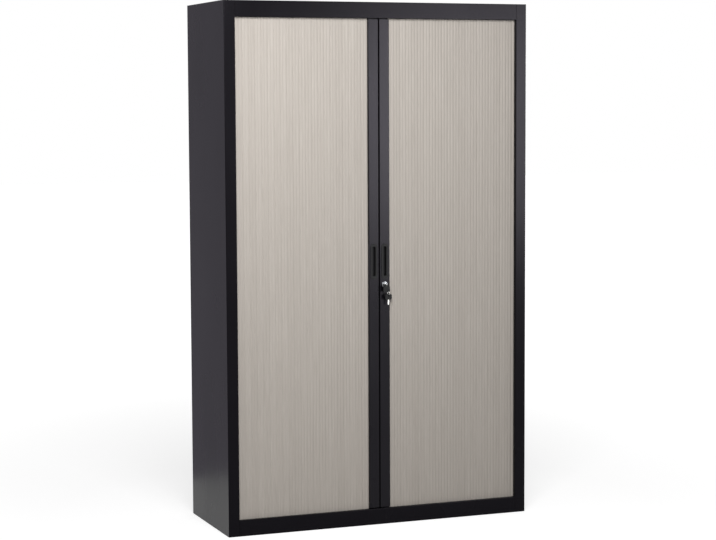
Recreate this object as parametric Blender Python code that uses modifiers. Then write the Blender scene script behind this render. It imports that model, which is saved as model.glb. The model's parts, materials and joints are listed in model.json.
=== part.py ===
# Steel cabinet with two tambour doors that slide round its corners into side pockets.
# Metres, +Z up, X across the front, the front faces -Y, origin on the floor under the middle.
import math

import bmesh
import bpy
from mathutils import Matrix, Vector

# Whole cabinet
WIDTH = 1.200
HEIGHT = 1.950
DEPTH = 0.460

# Sheet steel body
SHEET = 0.001
BEND_RADIUS = 0.0022
STILE_WIDTH = 0.042
STILE_DEPTH = 0.0165
REAR_FLANGE = 0.020
HEADER_HEIGHT = 0.060
PLINTH_HEIGHT = 0.060
CEILING_FLANGE_SETBACK = 0.004

# Clearances
FIT = 0.0003
OVERRUN = 0.003
LIP_CLEARANCE = 0.002
SIDE_CLEARANCE = 0.004
TURN_CLEARANCE = 0.0005
TRACK_PLAY = 0.0008
TOP_PLAY = 0.002
LEAD_END_CLEARANCE = 0.0025
TRAY_PLAY = 0.001
STOP_MARGIN = 0.0162

# Tambour curtain
CURTAIN_THICKNESS = 0.009
SLAT_PITCH = 0.0242
FLUTES_PER_SLAT = 2
FLUTE_DEPTH = 0.0012
JOINT_DEPTH = 0.0024
FLUTE_SHARES = ((0.0, 0.0), (0.14, 0.72), (0.5, 1.0), (0.86, 0.72))
BACK_SHARES = (0.12, 0.31, 0.5, 0.69, 0.88)

# Track that guides the curtain
TRACK_WALL = 0.0016
TRACK_BASE = 0.002
TRACK_HEIGHT = 0.012
TRACK_HIDE = 0.012
TRACK_HIDE_TOP = 0.009
TRACK_SPARE = 0.012
TURN_STEPS = 8

# Leading slat of each door
LEAD_WIDTH = 0.0395
LEAD_GAP = 0.004
LEAD_SETBACK = 0.010
LEAD_WALL = 0.0015
LEAD_CORNER = 0.002
GLIDE_PLUG = 0.014

# Handle cup
HANDLE_HEIGHT_FROM_FLOOR = 0.992
FLANGE_WIDTH = 0.027
FLANGE_LENGTH = 0.131
FLANGE_THICKNESS = 0.0015
FLANGE_OVERLAP = 0.002
CUP_DEPTH = 0.0122
CUP_FLOOR = 0.0015
FINGER_WIDTH = 0.0125
FINGER_LENGTH = 0.110
CORNER_STEPS = 5
SMOOTH_BELOW_DEG = 30

# Lock
LOCK_DROP = 0.087
BEZEL_RADIUS = 0.011
BEZEL_PROUD = 0.002
BEZEL_CHAMFER = 0.0008
BARREL_RADIUS = 0.009
BARREL_LENGTH = 0.009
PLUG_RADIUS = 0.0052
PLUG_CLEARANCE = 0.0003
PLUG_TAIL_RADIUS = 0.0025
KEYWAY_DEPTH = 0.0095
HOOK_THICKNESS = 0.003
HOOK_HUB_RADIUS = 0.007
HOOK_SHANK = 0.008
HOOK_NOSE_LENGTH = 0.007
HOOK_NOSE_RISE = 0.007
HOOK_BEHIND_STRIKE = 0.0006
HOOK_SLOT_PLAY = 0.001
STRIKE_THICKNESS = 0.0012
STRIKE_MARGIN = 0.006
ROUND_STEPS = 32

# Keys
KEY_THICKNESS = 0.002
KEY_HEIGHT = 0.006
KEY_INSERT = 0.009
KEY_COLLAR_GAP = 0.0008
KEY_COLLAR_LENGTH = 0.002
KEY_COLLAR_HEIGHT = 0.009
KEY_PIN_REACH = 0.014
KEY_STEM_SHARE = 0.8
KEY_BIT_DEPTH = 0.0011
KEY_BIT_SHARES = ((0.10, 0.0), (0.22, 1.0), (0.34, 0.3), (0.48, 0.9), (0.62, 0.2), (0.76, 0.8), (0.90, 0.0))
EYE_RADIUS = 0.003
PIN_RADIUS = 0.001
PIN_CLEARANCE = 0.0004
EAR_WIDTH = 0.004
EAR_PLAY = 0.0003
HEAD_THICKNESS = 0.005
HEAD_WIDTH = 0.026
HEAD_NECK = 0.0048
HEAD_LENGTH = 0.022
HEAD_CORNER = 0.005
RING_HOLE_RADIUS = 0.003
RING_HOLE_EDGE = 0.0025
RING_HOLE_SHARE = 0.29
RING_RADIUS = 0.009
RING_WIRE = 0.0008
SPARE_HEAD_LENGTH = 0.020
SPARE_BLADE_LENGTH = 0.020

# Inner walls and shelves
COLUMN_FLANGE = 0.022
LINER_FLANGE = 0.012
SLOT_PITCH = 0.0375
SLOT_WIDTH = 0.011
SLOT_HEIGHT = 0.008
SLOT_COLUMN_INSET = 0.045
SLOT_END_MARGIN = 0.080
SHELF_COUNT = 4
SHELF_HEIGHT = 0.025
SHELF_RETURN = 0.012
CLIP_WIDTH = 0.010
CLIP_REACH = 0.014
CLIP_STOCK = 0.0025
CLIP_LEG = 0.014
CLIP_TONGUE = 0.003
CLIP_HOOK_DROP = 0.003
CLIP_HOOK_STOCK = 0.0025
CLIP_RISE = 0.003

# Levelling feet
FOOT_INSET_X = 0.075
FOOT_INSET_Y = 0.085
FOOT_FLOOR_GAP = 0.0005
PAD_RADIUS = 0.018
PAD_HEIGHT = 0.008
PAD_BOSS_RADIUS = 0.009
PAD_BOSS_HEIGHT = 0.004
SOCKET_DEPTH = 0.006
STUD_RADIUS = 0.005
STUD_ABOVE_FLOOR = 0.018
ACCESS_HOLE_RADIUS = 0.007

# Levels and planes that follow from the sizes above
plug_out = BEZEL_PROUD + KEY_COLLAR_GAP
head_plane_out = plug_out + KEY_PIN_REACH
ring_out = head_plane_out + RING_RADIUS + RING_WIRE - LEAD_SETBACK
front = -(DEPTH - ring_out) / 2
back = front + DEPTH
half_width = WIDTH / 2
weld_distance = FIT / 10

curtain_front = front + STILE_DEPTH + FIT + TRACK_WALL + TRACK_PLAY
curtain_back = curtain_front + CURTAIN_THICKNESS
curtain_half = CURTAIN_THICKNESS / 2
groove_half = curtain_half + TRACK_PLAY
track_half = groove_half + TRACK_WALL
track_line = curtain_front + curtain_half
lip_depth = track_line - track_half - LIP_CLEARANCE - front
side_track = SHEET + SIDE_CLEARANCE + track_half
turn_radius = STILE_WIDTH - side_track
turn_length = turn_radius * math.pi / 2
front_run = half_width - STILE_WIDTH
side_run = back - side_track - turn_radius - (track_line + turn_radius)

floor_level = PLINTH_HEIGHT - TRACK_HIDE - TRACK_HEIGHT
ceiling_level = HEIGHT - HEADER_HEIGHT + TRACK_HIDE_TOP + TRACK_HEIGHT
curtain_bottom = floor_level + FIT + TRACK_BASE + FIT
curtain_top = ceiling_level - FIT - TRACK_BASE - TOP_PLAY
lead_bottom = PLINTH_HEIGHT + LEAD_END_CLEARANCE
lead_top = HEIGHT - HEADER_HEIGHT - LEAD_END_CLEARANCE
lead_front = front + LEAD_SETBACK
lead_depth = curtain_back - lead_front
lead_inner = LEAD_GAP / 2
lead_outer = lead_inner + LEAD_WIDTH
lead_middle = (lead_inner + lead_outer) / 2
curtain_start = lead_outer + FIT
slat_count = math.ceil((front_run + turn_length - curtain_start) / SLAT_PITCH)
curtain_end = curtain_start + slat_count * SLAT_PITCH
door_travel = front_run - curtain_start - STOP_MARGIN
back_run = max(SLAT_PITCH, curtain_end + door_travel + TRACK_SPARE
               - front_run - 2 * turn_length - side_run)

turn_inside = (turn_radius - track_half - TURN_CLEARANCE) / math.sqrt(2)
liner_outer = half_width - STILE_WIDTH + turn_inside
liner_inner = liner_outer - SHEET
liner_front = track_line + turn_radius - turn_inside
back_liner_face = back - side_track - turn_radius + turn_inside
liner_bottom = floor_level + FIT
liner_top = ceiling_level - FIT
back_panel_inner = back - 2 * SHEET - FIT

tray_front = liner_front + SHEET + TRAY_PLAY
tray_back = back_liner_face - SHEET - TRAY_PLAY
tray_half = liner_inner - TRAY_PLAY
floor_top = PLINTH_HEIGHT + SHEET
slot_start = floor_top + SLOT_END_MARGIN
slot_rows = int((ceiling_level - SLOT_END_MARGIN - slot_start) / SLOT_PITCH)
slot_columns = (liner_front + SLOT_COLUMN_INSET, back_liner_face - SLOT_COLUMN_INSET)
shelf_step = (ceiling_level - floor_top) / (SHELF_COUNT + 1)

handle_level = HANDLE_HEIGHT_FROM_FLOOR
lock_level = handle_level - LOCK_DROP
plug_front = lead_front - BEZEL_PROUD
barrel_back = lead_front + BARREL_LENGTH
hook_front = barrel_back + FIT
hook_back = hook_front + HOOK_THICKNESS
pin_plane = lead_front - head_plane_out

# Hook seen at the end of its turn: u runs towards the other door, v runs up
strike_near = lead_middle + lead_inner + LEAD_WALL + FIT
nose_near = strike_near + STRIKE_THICKNESS + HOOK_BEHIND_STRIKE
nose_far = nose_near + HOOK_NOSE_LENGTH
nose_top = HOOK_SHANK / 2 + HOOK_NOSE_RISE
hook_reach = math.hypot(nose_far, nose_top)
slot_above = HOOK_SHANK / 2 + HOOK_SLOT_PLAY
own_slot_below = math.sqrt(hook_reach ** 2 - (lead_middle - lead_inner - LEAD_WALL) ** 2) + HOOK_SLOT_PLAY
strike_slot_below = math.sqrt(hook_reach ** 2 - (lead_middle + lead_inner) ** 2) + HOOK_SLOT_PLAY

ring_sag = RING_RADIUS - math.sqrt(RING_RADIUS ** 2 - (HEAD_THICKNESS / 2 + RING_WIRE) ** 2)
ring_seat = RING_HOLE_RADIUS - RING_WIRE - ring_sag - 2 * FIT


def fresh_collection(name):
    collection = bpy.data.collections.new(name)
    bpy.context.scene.collection.children.link(collection)
    return collection


for leftover in list(bpy.data.objects):
    bpy.data.objects.remove(leftover, do_unlink=True)
parts = fresh_collection("tambour_door_cabinet")
cutters = fresh_collection("cutters")


def principled(name, colour, roughness, metallic=0.0):
    material = bpy.data.materials.new(name)
    material.use_nodes = True
    shader = material.node_tree.nodes["Principled BSDF"]
    shader.inputs["Base Color"].default_value = (*colour, 1.0)
    shader.inputs["Roughness"].default_value = roughness
    shader.inputs["Metallic"].default_value = metallic
    return material


anthracite = principled("anthracite_powder_coat", (0.045, 0.045, 0.050), 0.50)
shelf_coat = principled("shelf_powder_coat", (0.055, 0.055, 0.060), 0.50)
taupe = principled("taupe_slats", (0.42, 0.37, 0.33), 0.60)
lead_coat = principled("lead_slat_coat", (0.050, 0.048, 0.055), 0.45)
black_plastic = principled("black_plastic", (0.020, 0.020, 0.022), 0.45)
track_plastic = principled("track_plastic", (0.030, 0.030, 0.032), 0.40)
chrome = principled("chromed_lock", (0.75, 0.76, 0.78), 0.15, 1.0)
zinc = principled("zinc_plate", (0.55, 0.56, 0.57), 0.35, 1.0)
key_steel = principled("nickel_key", (0.70, 0.69, 0.66), 0.25, 1.0)


# An outline drawn in a plane and drawn out square to it.
# Plane "XY" is extruded along Z, "YZ" along X and "XZ" along Y.
PLANES = {
    "XY": Matrix.Identity(3),
    "YZ": Matrix(((0, 0, 1), (1, 0, 0), (0, 1, 0))),
    "XZ": Matrix(((1, 0, 0), (0, 0, -1), (0, 1, 0))),
}


def drawn_out(name, loops, plane, low, high, pivot=(0.0, 0.0, 0.0)):
    """A closed mesh from outline loops, between two distances square to their plane."""
    turn = PLANES[plane].to_4x4()
    normal = turn.to_3x3() @ Vector((0, 0, 1))
    middle = (low + high) / 2
    curve = bpy.data.curves.new(name, "CURVE")
    curve.dimensions = "2D"
    curve.fill_mode = "BOTH"
    curve.extrude = (high - low) / 2
    for loop in loops:
        spline = curve.splines.new("POLY")
        spline.points.add(len(loop) - 1)
        for point, (across, up) in zip(spline.points, loop):
            point.co = (across, up, 0.0, 1.0)
        spline.use_cyclic_u = True
    rough = bpy.data.objects.new(name + "_outline", curve)
    parts.objects.link(rough)
    # The extrusion runs along a positive axis, whichever way the plane's normal points
    rough.matrix_world = Matrix.Translation(Vector([abs(c) for c in normal]) * middle) @ turn
    bpy.context.view_layer.update()
    seen = rough.evaluated_get(bpy.context.evaluated_depsgraph_get())
    mesh = bpy.data.meshes.new_from_object(seen)
    placed = rough.matrix_world.copy()
    bpy.data.objects.remove(rough, do_unlink=True)
    bpy.data.curves.remove(curve)
    welded = bmesh.new()
    welded.from_mesh(mesh)
    welded.transform(Matrix.Translation(-Vector(pivot)) @ placed)
    bmesh.ops.remove_doubles(welded, verts=welded.verts, dist=weld_distance)
    bmesh.ops.recalc_face_normals(welded, faces=welded.faces)
    welded.to_mesh(mesh)
    welded.free()
    mesh.name = name
    solid = bpy.data.objects.new(name, mesh)
    solid.location = pivot
    parts.objects.link(solid)
    return solid


def hang_on(item, parent):
    """Parent an item to a joint's empty and leave it where it is."""
    item.parent = parent
    item.matrix_parent_inverse = parent.matrix_world.inverted()


def dressed(solid, material, parent=None):
    solid.data.materials.clear()
    solid.data.materials.append(material)
    if parent is not None:
        hang_on(solid, parent)
    return solid


def joint_empty(name, place, parent=None):
    empty = bpy.data.objects.new(name, None)
    empty.empty_display_size = STILE_WIDTH
    empty.location = place
    parts.objects.link(empty)
    if parent is not None:
        hang_on(empty, parent)
    bpy.context.view_layer.update()
    return empty


def as_cutter(solid):
    for collection in list(solid.users_collection):
        collection.objects.unlink(solid)
    cutters.objects.link(solid)
    solid.hide_render = True
    solid.display_type = "WIRE"
    return solid


def combine(solid, tool, operation):
    step = solid.modifiers.new(tool.name, "BOOLEAN")
    step.object = as_cutter(tool)
    step.operation = operation
    step.solver = "EXACT"


def box(name, low, high):
    """An upright block between two corners."""
    bpy.ops.mesh.primitive_cube_add(size=1.0)
    block = bpy.context.active_object
    block.name = name
    block.data.name = name
    block.location = [(a + b) / 2 for a, b in zip(low, high)]
    block.scale = [b - a for a, b in zip(low, high)]
    bpy.ops.object.transform_apply(location=False, rotation=False, scale=True)
    for collection in list(block.users_collection):
        collection.objects.unlink(block)
    parts.objects.link(block)
    return block


def cylinder(name, radius, low, high, axis):
    """A round bar between two points on an axis given as X, Y or Z."""
    turns = {"X": (0, math.pi / 2, 0), "Y": (math.pi / 2, 0, 0), "Z": (0, 0, 0)}
    length = (Vector(high) - Vector(low)).length
    bpy.ops.mesh.primitive_cylinder_add(
        vertices=ROUND_STEPS, radius=radius, depth=length, rotation=turns[axis],
        location=(Vector(low) + Vector(high)) / 2)
    bar = bpy.context.active_object
    bar.name = name
    bar.data.name = name
    for collection in list(bar.users_collection):
        collection.objects.unlink(bar)
    parts.objects.link(bar)
    return bar


def turned(name, profile, place, towards_front, closed_ring=False):
    """A turned piece: the profile is (radius, height), listed from its top down the outside."""
    mesh = bpy.data.meshes.new(name)
    shape = bmesh.new()
    corners = [shape.verts.new((radius, 0, height)) for radius, height in profile]
    for first, second in zip(corners, corners[1:]):
        shape.edges.new((first, second))
    if closed_ring:
        shape.edges.new((corners[-1], corners[0]))
    shape.to_mesh(mesh)
    shape.free()
    solid = bpy.data.objects.new(name, mesh)
    solid.location = place
    if towards_front:
        solid.rotation_euler = (math.pi / 2, 0, 0)
    parts.objects.link(solid)
    spin = solid.modifiers.new("turn", "SCREW")
    spin.steps = ROUND_STEPS
    spin.render_steps = ROUND_STEPS
    spin.use_merge_vertices = True
    spin.merge_threshold = weld_distance
    return solid


def offset_path(path, distance):
    """The same open path, moved to the right of its direction of travel."""
    moved = []
    for index, here in enumerate(path):
        before = path[max(index - 1, 0)]
        after = path[min(index + 1, len(path) - 1)]
        normals = []
        for start, end in ((before, here), (here, after)):
            run = Vector(end) - Vector(start)
            if run.length > 0:
                run.normalize()
                normals.append(Vector((run.y, -run.x)))
        mean = sum(normals, Vector((0.0, 0.0)))
        mean.normalize()
        stretch = distance / mean.dot(normals[0])
        moved.append((here[0] + mean.x * stretch, here[1] + mean.y * stretch))
    return moved


def bent_path(corners, radius, steps=2):
    """A path with its corners bent to a radius, as a press brake leaves them."""
    path = [corners[0]]
    for before, corner, after in zip(corners, corners[1:], corners[2:]):
        inward = (Vector(before) - Vector(corner)).normalized()
        outward = (Vector(after) - Vector(corner)).normalized()
        start = Vector(corner) + inward * radius
        centre = start + outward * radius
        for step in range(steps + 1):
            angle = math.pi / 2 * step / steps
            point = centre - outward * (radius * math.cos(angle)) - inward * (radius * math.sin(angle))
            path.append((point.x, point.y))
    path.append(corners[-1])
    return path


def folded_sheet(name, corners, material_side, plane, low, high):
    """Sheet steel folded along a path of its outer face, then drawn out."""
    outer = bent_path(corners, BEND_RADIUS)
    inner = offset_path(outer, SHEET * material_side)
    return drawn_out(name, [outer + inner[::-1]], plane, low, high)


def rounded_rectangle(centre, width, height, radius):
    loop = []
    for corner in range(4):
        middle = math.pi / 2 * corner
        sign_x = 1 if corner in (0, 3) else -1
        sign_y = 1 if corner in (0, 1) else -1
        hub = (centre[0] + sign_x * (width / 2 - radius), centre[1] + sign_y * (height / 2 - radius))
        for step in range(CORNER_STEPS + 1):
            angle = middle + math.pi / 2 * step / CORNER_STEPS
            loop.append((hub[0] + radius * math.cos(angle), hub[1] + radius * math.sin(angle)))
    return loop


def circle(centre, radius, steps=ROUND_STEPS):
    return [(centre[0] + radius * math.cos(2 * math.pi * k / steps),
             centre[1] + radius * math.sin(2 * math.pi * k / steps)) for k in range(steps)]


def curtain_line(along, outward, side):
    """A point on the curtain's route: along it from the cabinet's middle, and outward from it."""
    reach = turn_radius + outward
    if along <= front_run:
        x, y = along, track_line - outward
    elif along <= front_run + turn_length:
        angle = (along - front_run) / turn_radius
        x = front_run + reach * math.sin(angle)
        y = track_line + turn_radius - reach * math.cos(angle)
    elif along <= front_run + turn_length + side_run:
        x = front_run + reach
        y = track_line + turn_radius + along - front_run - turn_length
    elif along <= front_run + 2 * turn_length + side_run:
        angle = (along - front_run - turn_length - side_run) / turn_radius
        x = front_run + reach * math.cos(angle)
        y = back - side_track - turn_radius + reach * math.sin(angle)
    else:
        x = front_run - (along - front_run - 2 * turn_length - side_run)
        y = back - side_track + outward
    return side * x, y


def track_stations(start, end):
    """Distances along the route where a track's outline needs a point."""
    stations = [start, front_run]
    for first in (front_run, front_run + turn_length + side_run):
        stations += [first + turn_length * k / TURN_STEPS for k in range(1, TURN_STEPS + 1)]
        stations.append(first + turn_length + (side_run if first == front_run else 0))
    stations = sorted(set(s for s in stations if start <= s < end)) + [end]
    return stations


def band(side, start, end, half):
    stations = track_stations(start, end)
    outside = [curtain_line(s, half, side) for s in stations]
    inside = [curtain_line(s, -half, side) for s in reversed(stations)]
    return outside + inside


# Folded steel body

def side_panel(name, side):
    corners = [
        (side * (half_width - STILE_WIDTH), front + STILE_DEPTH),
        (side * (half_width - STILE_WIDTH), front),
        (side * half_width, front),
        (side * half_width, back),
        (side * (half_width - REAR_FLANGE), back),
    ]
    return dressed(folded_sheet(name, corners, -side, "XY", 0.0, HEIGHT - SHEET - FIT), anthracite)


def stile_notch(name, side, low, high):
    """Room for the front stile of a side panel."""
    inner = half_width - STILE_WIDTH - FIT
    outer = half_width + OVERRUN
    ends = sorted((side * inner, side * outer))
    return box(name, (ends[0], front - OVERRUN, low), (ends[1], front + STILE_DEPTH + FIT, high))


def top_panel():
    corners = [
        (back, HEIGHT),
        (front, HEIGHT),
        (front, HEIGHT - HEADER_HEIGHT),
        (front + lip_depth, HEIGHT - HEADER_HEIGHT),
        (front + lip_depth, ceiling_level - FIT),
    ]
    panel = folded_sheet("top_panel", corners, -1, "YZ", -half_width, half_width)
    for side, word in ((-1, "left"), (1, "right")):
        notch = stile_notch("top_notch_" + word, side, HEIGHT - HEADER_HEIGHT - OVERRUN, HEIGHT - SHEET - FIT)
        combine(panel, notch, "DIFFERENCE")
    return dressed(panel, anthracite)


def foot_places():
    for word_x, side in (("left", -1), ("right", 1)):
        for word_y, y in (("front", front + FOOT_INSET_Y), ("rear", back - FOOT_INSET_Y)):
            yield word_x + "_" + word_y, side * (half_width - FOOT_INSET_X), y


def base_panel():
    inner_back = back_panel_inner - FIT
    corners = [
        (front, 0.0),
        (front, PLINTH_HEIGHT),
        (front + lip_depth, PLINTH_HEIGHT),
        (front + lip_depth, floor_level),
        (inner_back, floor_level),
        (inner_back, 0.0),
    ]
    half = half_width - SHEET - FIT
    panel = folded_sheet("base_panel", corners, 1, "YZ", -half, half)
    for side, word in ((-1, "left"), (1, "right")):
        notch = stile_notch("base_notch_" + word, side, -OVERRUN, PLINTH_HEIGHT + OVERRUN)
        combine(panel, notch, "DIFFERENCE")
    for word, x, y in foot_places():
        hole = cylinder("stud_hole_" + word, STUD_RADIUS + FIT, (x, y, floor_level - SHEET - OVERRUN),
                        (x, y, floor_level + OVERRUN), "Z")
        combine(panel, hole, "DIFFERENCE")
    return dressed(panel, anthracite)


def ceiling_panel():
    ends = HEIGHT - SHEET - FIT
    inner_back = back_panel_inner - FIT
    corners = [
        (front + SHEET + FIT + CEILING_FLANGE_SETBACK, ends),
        (front + SHEET + FIT + CEILING_FLANGE_SETBACK, ceiling_level),
        (inner_back, ceiling_level),
        (inner_back, ends),
    ]
    half = half_width - SHEET - FIT
    panel = folded_sheet("ceiling_panel", corners, -1, "YZ", -half, half)
    for side, word in ((-1, "left"), (1, "right")):
        notch = stile_notch("ceiling_notch_" + word, side, ceiling_level - OVERRUN, HEIGHT)
        combine(panel, notch, "DIFFERENCE")
    return dressed(panel, anthracite)


def back_panel():
    half = half_width - max(SHEET, BEND_RADIUS) - FIT
    panel = box("back_panel", (-half, back_panel_inner, 0.0), (half, back - SHEET - FIT, HEIGHT - SHEET - FIT))
    return dressed(panel, anthracite)


def side_liner(name, side):
    """Inner wall of a side pocket, with two rows of slots for the shelf clips."""
    corners = [
        (side * (liner_inner - COLUMN_FLANGE), liner_front),
        (side * liner_outer, liner_front),
        (side * liner_outer, back_liner_face),
    ]
    liner = folded_sheet(name, corners, -side, "XY", liner_bottom, liner_top)
    ends = sorted((side * (liner_inner - OVERRUN), side * (liner_outer + OVERRUN)))
    for number, column in enumerate(slot_columns):
        slot = box("%s_slots_%d" % (name, number + 1),
                   (ends[0], column - SLOT_WIDTH / 2, slot_start - SLOT_HEIGHT / 2),
                   (ends[1], column + SLOT_WIDTH / 2, slot_start + SLOT_HEIGHT / 2))
        row = slot.modifiers.new("rows", "ARRAY")
        row.count = slot_rows
        row.use_relative_offset = False
        row.use_constant_offset = True
        row.constant_offset_displace = (0, 0, SLOT_PITCH)
        combine(liner, slot, "DIFFERENCE")
    return dressed(liner, anthracite)


def back_liner():
    corners = [
        (back_liner_face, liner_bottom),
        (back_liner_face, liner_top),
        (back_liner_face - LINER_FLANGE, liner_top),
    ]
    half = liner_inner - FIT
    return dressed(folded_sheet("back_liner", corners, -1, "YZ", -half, half), anthracite)


def track(name, side, low, opens_up):
    """A plastic channel along the curtain's whole route."""
    end = front_run + 2 * turn_length + side_run + back_run
    high = low + TRACK_HEIGHT
    channel = drawn_out(name, [band(side, FIT / 2, end, track_half)], "XY", low, high)
    if opens_up:
        cut_low, cut_high = low + TRACK_BASE, high + OVERRUN
    else:
        cut_low, cut_high = low - OVERRUN, high - TRACK_BASE
    groove = drawn_out(name + "_groove", [band(side, -OVERRUN, end + OVERRUN, groove_half)], "XY",
                       cut_low, cut_high)
    combine(channel, groove, "DIFFERENCE")
    return dressed(channel, track_plastic)


# Shelves

def tray(name, top, height, front_edge, back_edge):
    corners = [
        (front_edge + SHELF_RETURN, top - height),
        (front_edge, top - height),
        (front_edge, top),
        (back_edge, top),
        (back_edge, top - height),
        (back_edge - SHELF_RETURN, top - height),
    ]
    return folded_sheet(name, corners, 1, "YZ", -tray_half, tray_half)


def shelf_row(number):
    """The slot row that a shelf hangs from, nearest to an even division."""
    wanted = floor_top + shelf_step * number - slot_start
    return round(wanted / SLOT_PITCH)


def slot_floor(row):
    return slot_start + row * SLOT_PITCH - SLOT_HEIGHT / 2


def ledge_level(row):
    return slot_floor(row) + FIT + CLIP_TONGUE + CLIP_RISE


def shelf(number):
    top = ledge_level(shelf_row(number)) + FIT + SHEET
    return dressed(tray("shelf_%d" % number, top, SHELF_HEIGHT, tray_front, tray_back), shelf_coat)


def shelf_clip(name, side, column, row):
    """A hook through a slot, with a ledge that the shelf lies on."""
    near = liner_inner - FIT
    far = liner_outer + FIT
    ledge = ledge_level(row)
    tongue = slot_floor(row) + FIT
    outline = [
        (near - CLIP_REACH, ledge),
        (near, ledge),
        (near, tongue + CLIP_TONGUE),
        (far + CLIP_HOOK_STOCK, tongue + CLIP_TONGUE),
        (far + CLIP_HOOK_STOCK, tongue - CLIP_HOOK_DROP),
        (far, tongue - CLIP_HOOK_DROP),
        (far, tongue),
        (near, tongue),
        (near, ledge - CLIP_LEG),
        (near - CLIP_STOCK, ledge - CLIP_LEG),
        (near - CLIP_STOCK, ledge - CLIP_STOCK),
        (near - CLIP_REACH, ledge - CLIP_STOCK),
    ]
    loop = [(side * x, z) for x, z in outline]
    return dressed(drawn_out(name, [loop], "XZ", column - CLIP_WIDTH / 2, column + CLIP_WIDTH / 2), zinc)


# Levelling feet, reached through the cabinet floor

def levelling_foot(word, x, y):
    lift = joint_empty(word + "_foot_lift", (x, y, FOOT_FLOOR_GAP))
    turn = joint_empty(word + "_foot_turn", (x, y, floor_level), lift)
    socket = STUD_RADIUS + FIT
    boss_top = FOOT_FLOOR_GAP + PAD_HEIGHT + PAD_BOSS_HEIGHT
    socket_floor = boss_top - SOCKET_DEPTH
    profile = [
        (socket, boss_top), (PAD_BOSS_RADIUS, boss_top), (PAD_BOSS_RADIUS, boss_top - PAD_BOSS_HEIGHT),
        (PAD_RADIUS, boss_top - PAD_BOSS_HEIGHT), (PAD_RADIUS, FOOT_FLOOR_GAP), (0.0, FOOT_FLOOR_GAP),
    ]
    inside = [(0.0, socket_floor), (socket, socket_floor)]
    pad = turned("foot_pad_" + word, inside + profile, (x, y, 0.0), False)
    dressed(pad, black_plastic, lift)
    stud_low = socket_floor + FIT
    stud_high = floor_level + STUD_ABOVE_FLOOR
    stud = turned("foot_stud_" + word,
                  [(0.0, stud_high), (STUD_RADIUS, stud_high), (STUD_RADIUS, stud_low), (0.0, stud_low)],
                  (x, y, 0.0), False)
    dressed(stud, zinc, turn)


def floor_panel():
    panel = tray("floor_panel", floor_top, floor_top - liner_bottom, tray_front, tray_back)
    for word, x, y in foot_places():
        hole = cylinder("access_hole_" + word, ACCESS_HOLE_RADIUS, (x, y, floor_top - SHEET - OVERRUN),
                        (x, y, floor_top + OVERRUN), "Z")
        combine(panel, hole, "DIFFERENCE")
    return dressed(panel, shelf_coat)


# Doors

def curtain(name, side, parent):
    """The slats of one door clipped together, in their place behind the stile and in front."""
    half = curtain_half
    flute = SLAT_PITCH / FLUTES_PER_SLAT
    face = []
    for number in range(slat_count * FLUTES_PER_SLAT):
        groove = JOINT_DEPTH if number % FLUTES_PER_SLAT == 0 else FLUTE_DEPTH
        for share, fullness in FLUTE_SHARES:
            along = curtain_start + (number + share) * flute
            face.append((along, half - groove * (1 - fullness)))
    face.append((curtain_end, half - JOINT_DEPTH))
    rear = [(curtain_start, -half + FLUTE_DEPTH)]
    for number in range(slat_count):
        for share in BACK_SHARES:
            rear.append((curtain_start + (number + share) * SLAT_PITCH, -half))
        rear.append((curtain_start + (number + 1) * SLAT_PITCH, -half + FLUTE_DEPTH))
    loop = [curtain_line(along, out, side) for along, out in face + rear[::-1]]
    solid = drawn_out(name, [loop], "XY", curtain_bottom, curtain_top)
    return dressed(solid, taupe, parent)


def lead_slat(name, side, parent):
    """Aluminium closing profile, hollow, with its cut-outs."""
    middle = (side * lead_middle, lead_front + lead_depth / 2)
    outer = rounded_rectangle(middle, LEAD_WIDTH, lead_depth, LEAD_CORNER)
    hollow_width = LEAD_WIDTH - 2 * LEAD_WALL
    hollow_depth = lead_depth - 2 * LEAD_WALL
    hollow = rounded_rectangle(middle, hollow_width, hollow_depth, LEAD_WALL / 2)
    profile = drawn_out(name, [outer, hollow], "XY", lead_bottom, lead_top)
    pocket = rounded_rectangle((side * lead_middle, handle_level), cup_width() + 2 * FIT,
                               cup_length() + 2 * FIT, cup_corner() + FIT)
    hole = drawn_out(name + "_handle_hole", [pocket], "XZ", lead_front - OVERRUN,
                     lead_front + LEAD_WALL + OVERRUN)
    combine(profile, hole, "DIFFERENCE")
    slot_front = hook_front - HOOK_SLOT_PLAY
    slot_back = hook_back + HOOK_SLOT_PLAY
    below = own_slot_below if side > 0 else strike_slot_below
    across = sorted((side * (lead_inner - OVERRUN / 2), side * (lead_inner + LEAD_WALL + OVERRUN / 2)))
    slot = box(name + "_hook_slot", (across[0], slot_front, lock_level - below),
               (across[1], slot_back, lock_level + slot_above))
    combine(profile, slot, "DIFFERENCE")
    if side > 0:
        bore = cylinder(name + "_lock_hole", BARREL_RADIUS + FIT,
                        (lead_middle, lead_front - OVERRUN, lock_level),
                        (lead_middle, lead_front + LEAD_WALL + OVERRUN, lock_level), "Y")
        combine(profile, bore, "DIFFERENCE")
    return dressed(profile, lead_coat, parent)


def cup_width():
    return FLANGE_WIDTH - 2 * FLANGE_OVERLAP


def cup_length():
    return FLANGE_LENGTH - 2 * FLANGE_OVERLAP


def cup_corner():
    return cup_width() / 2 - FLANGE_OVERLAP


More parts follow.
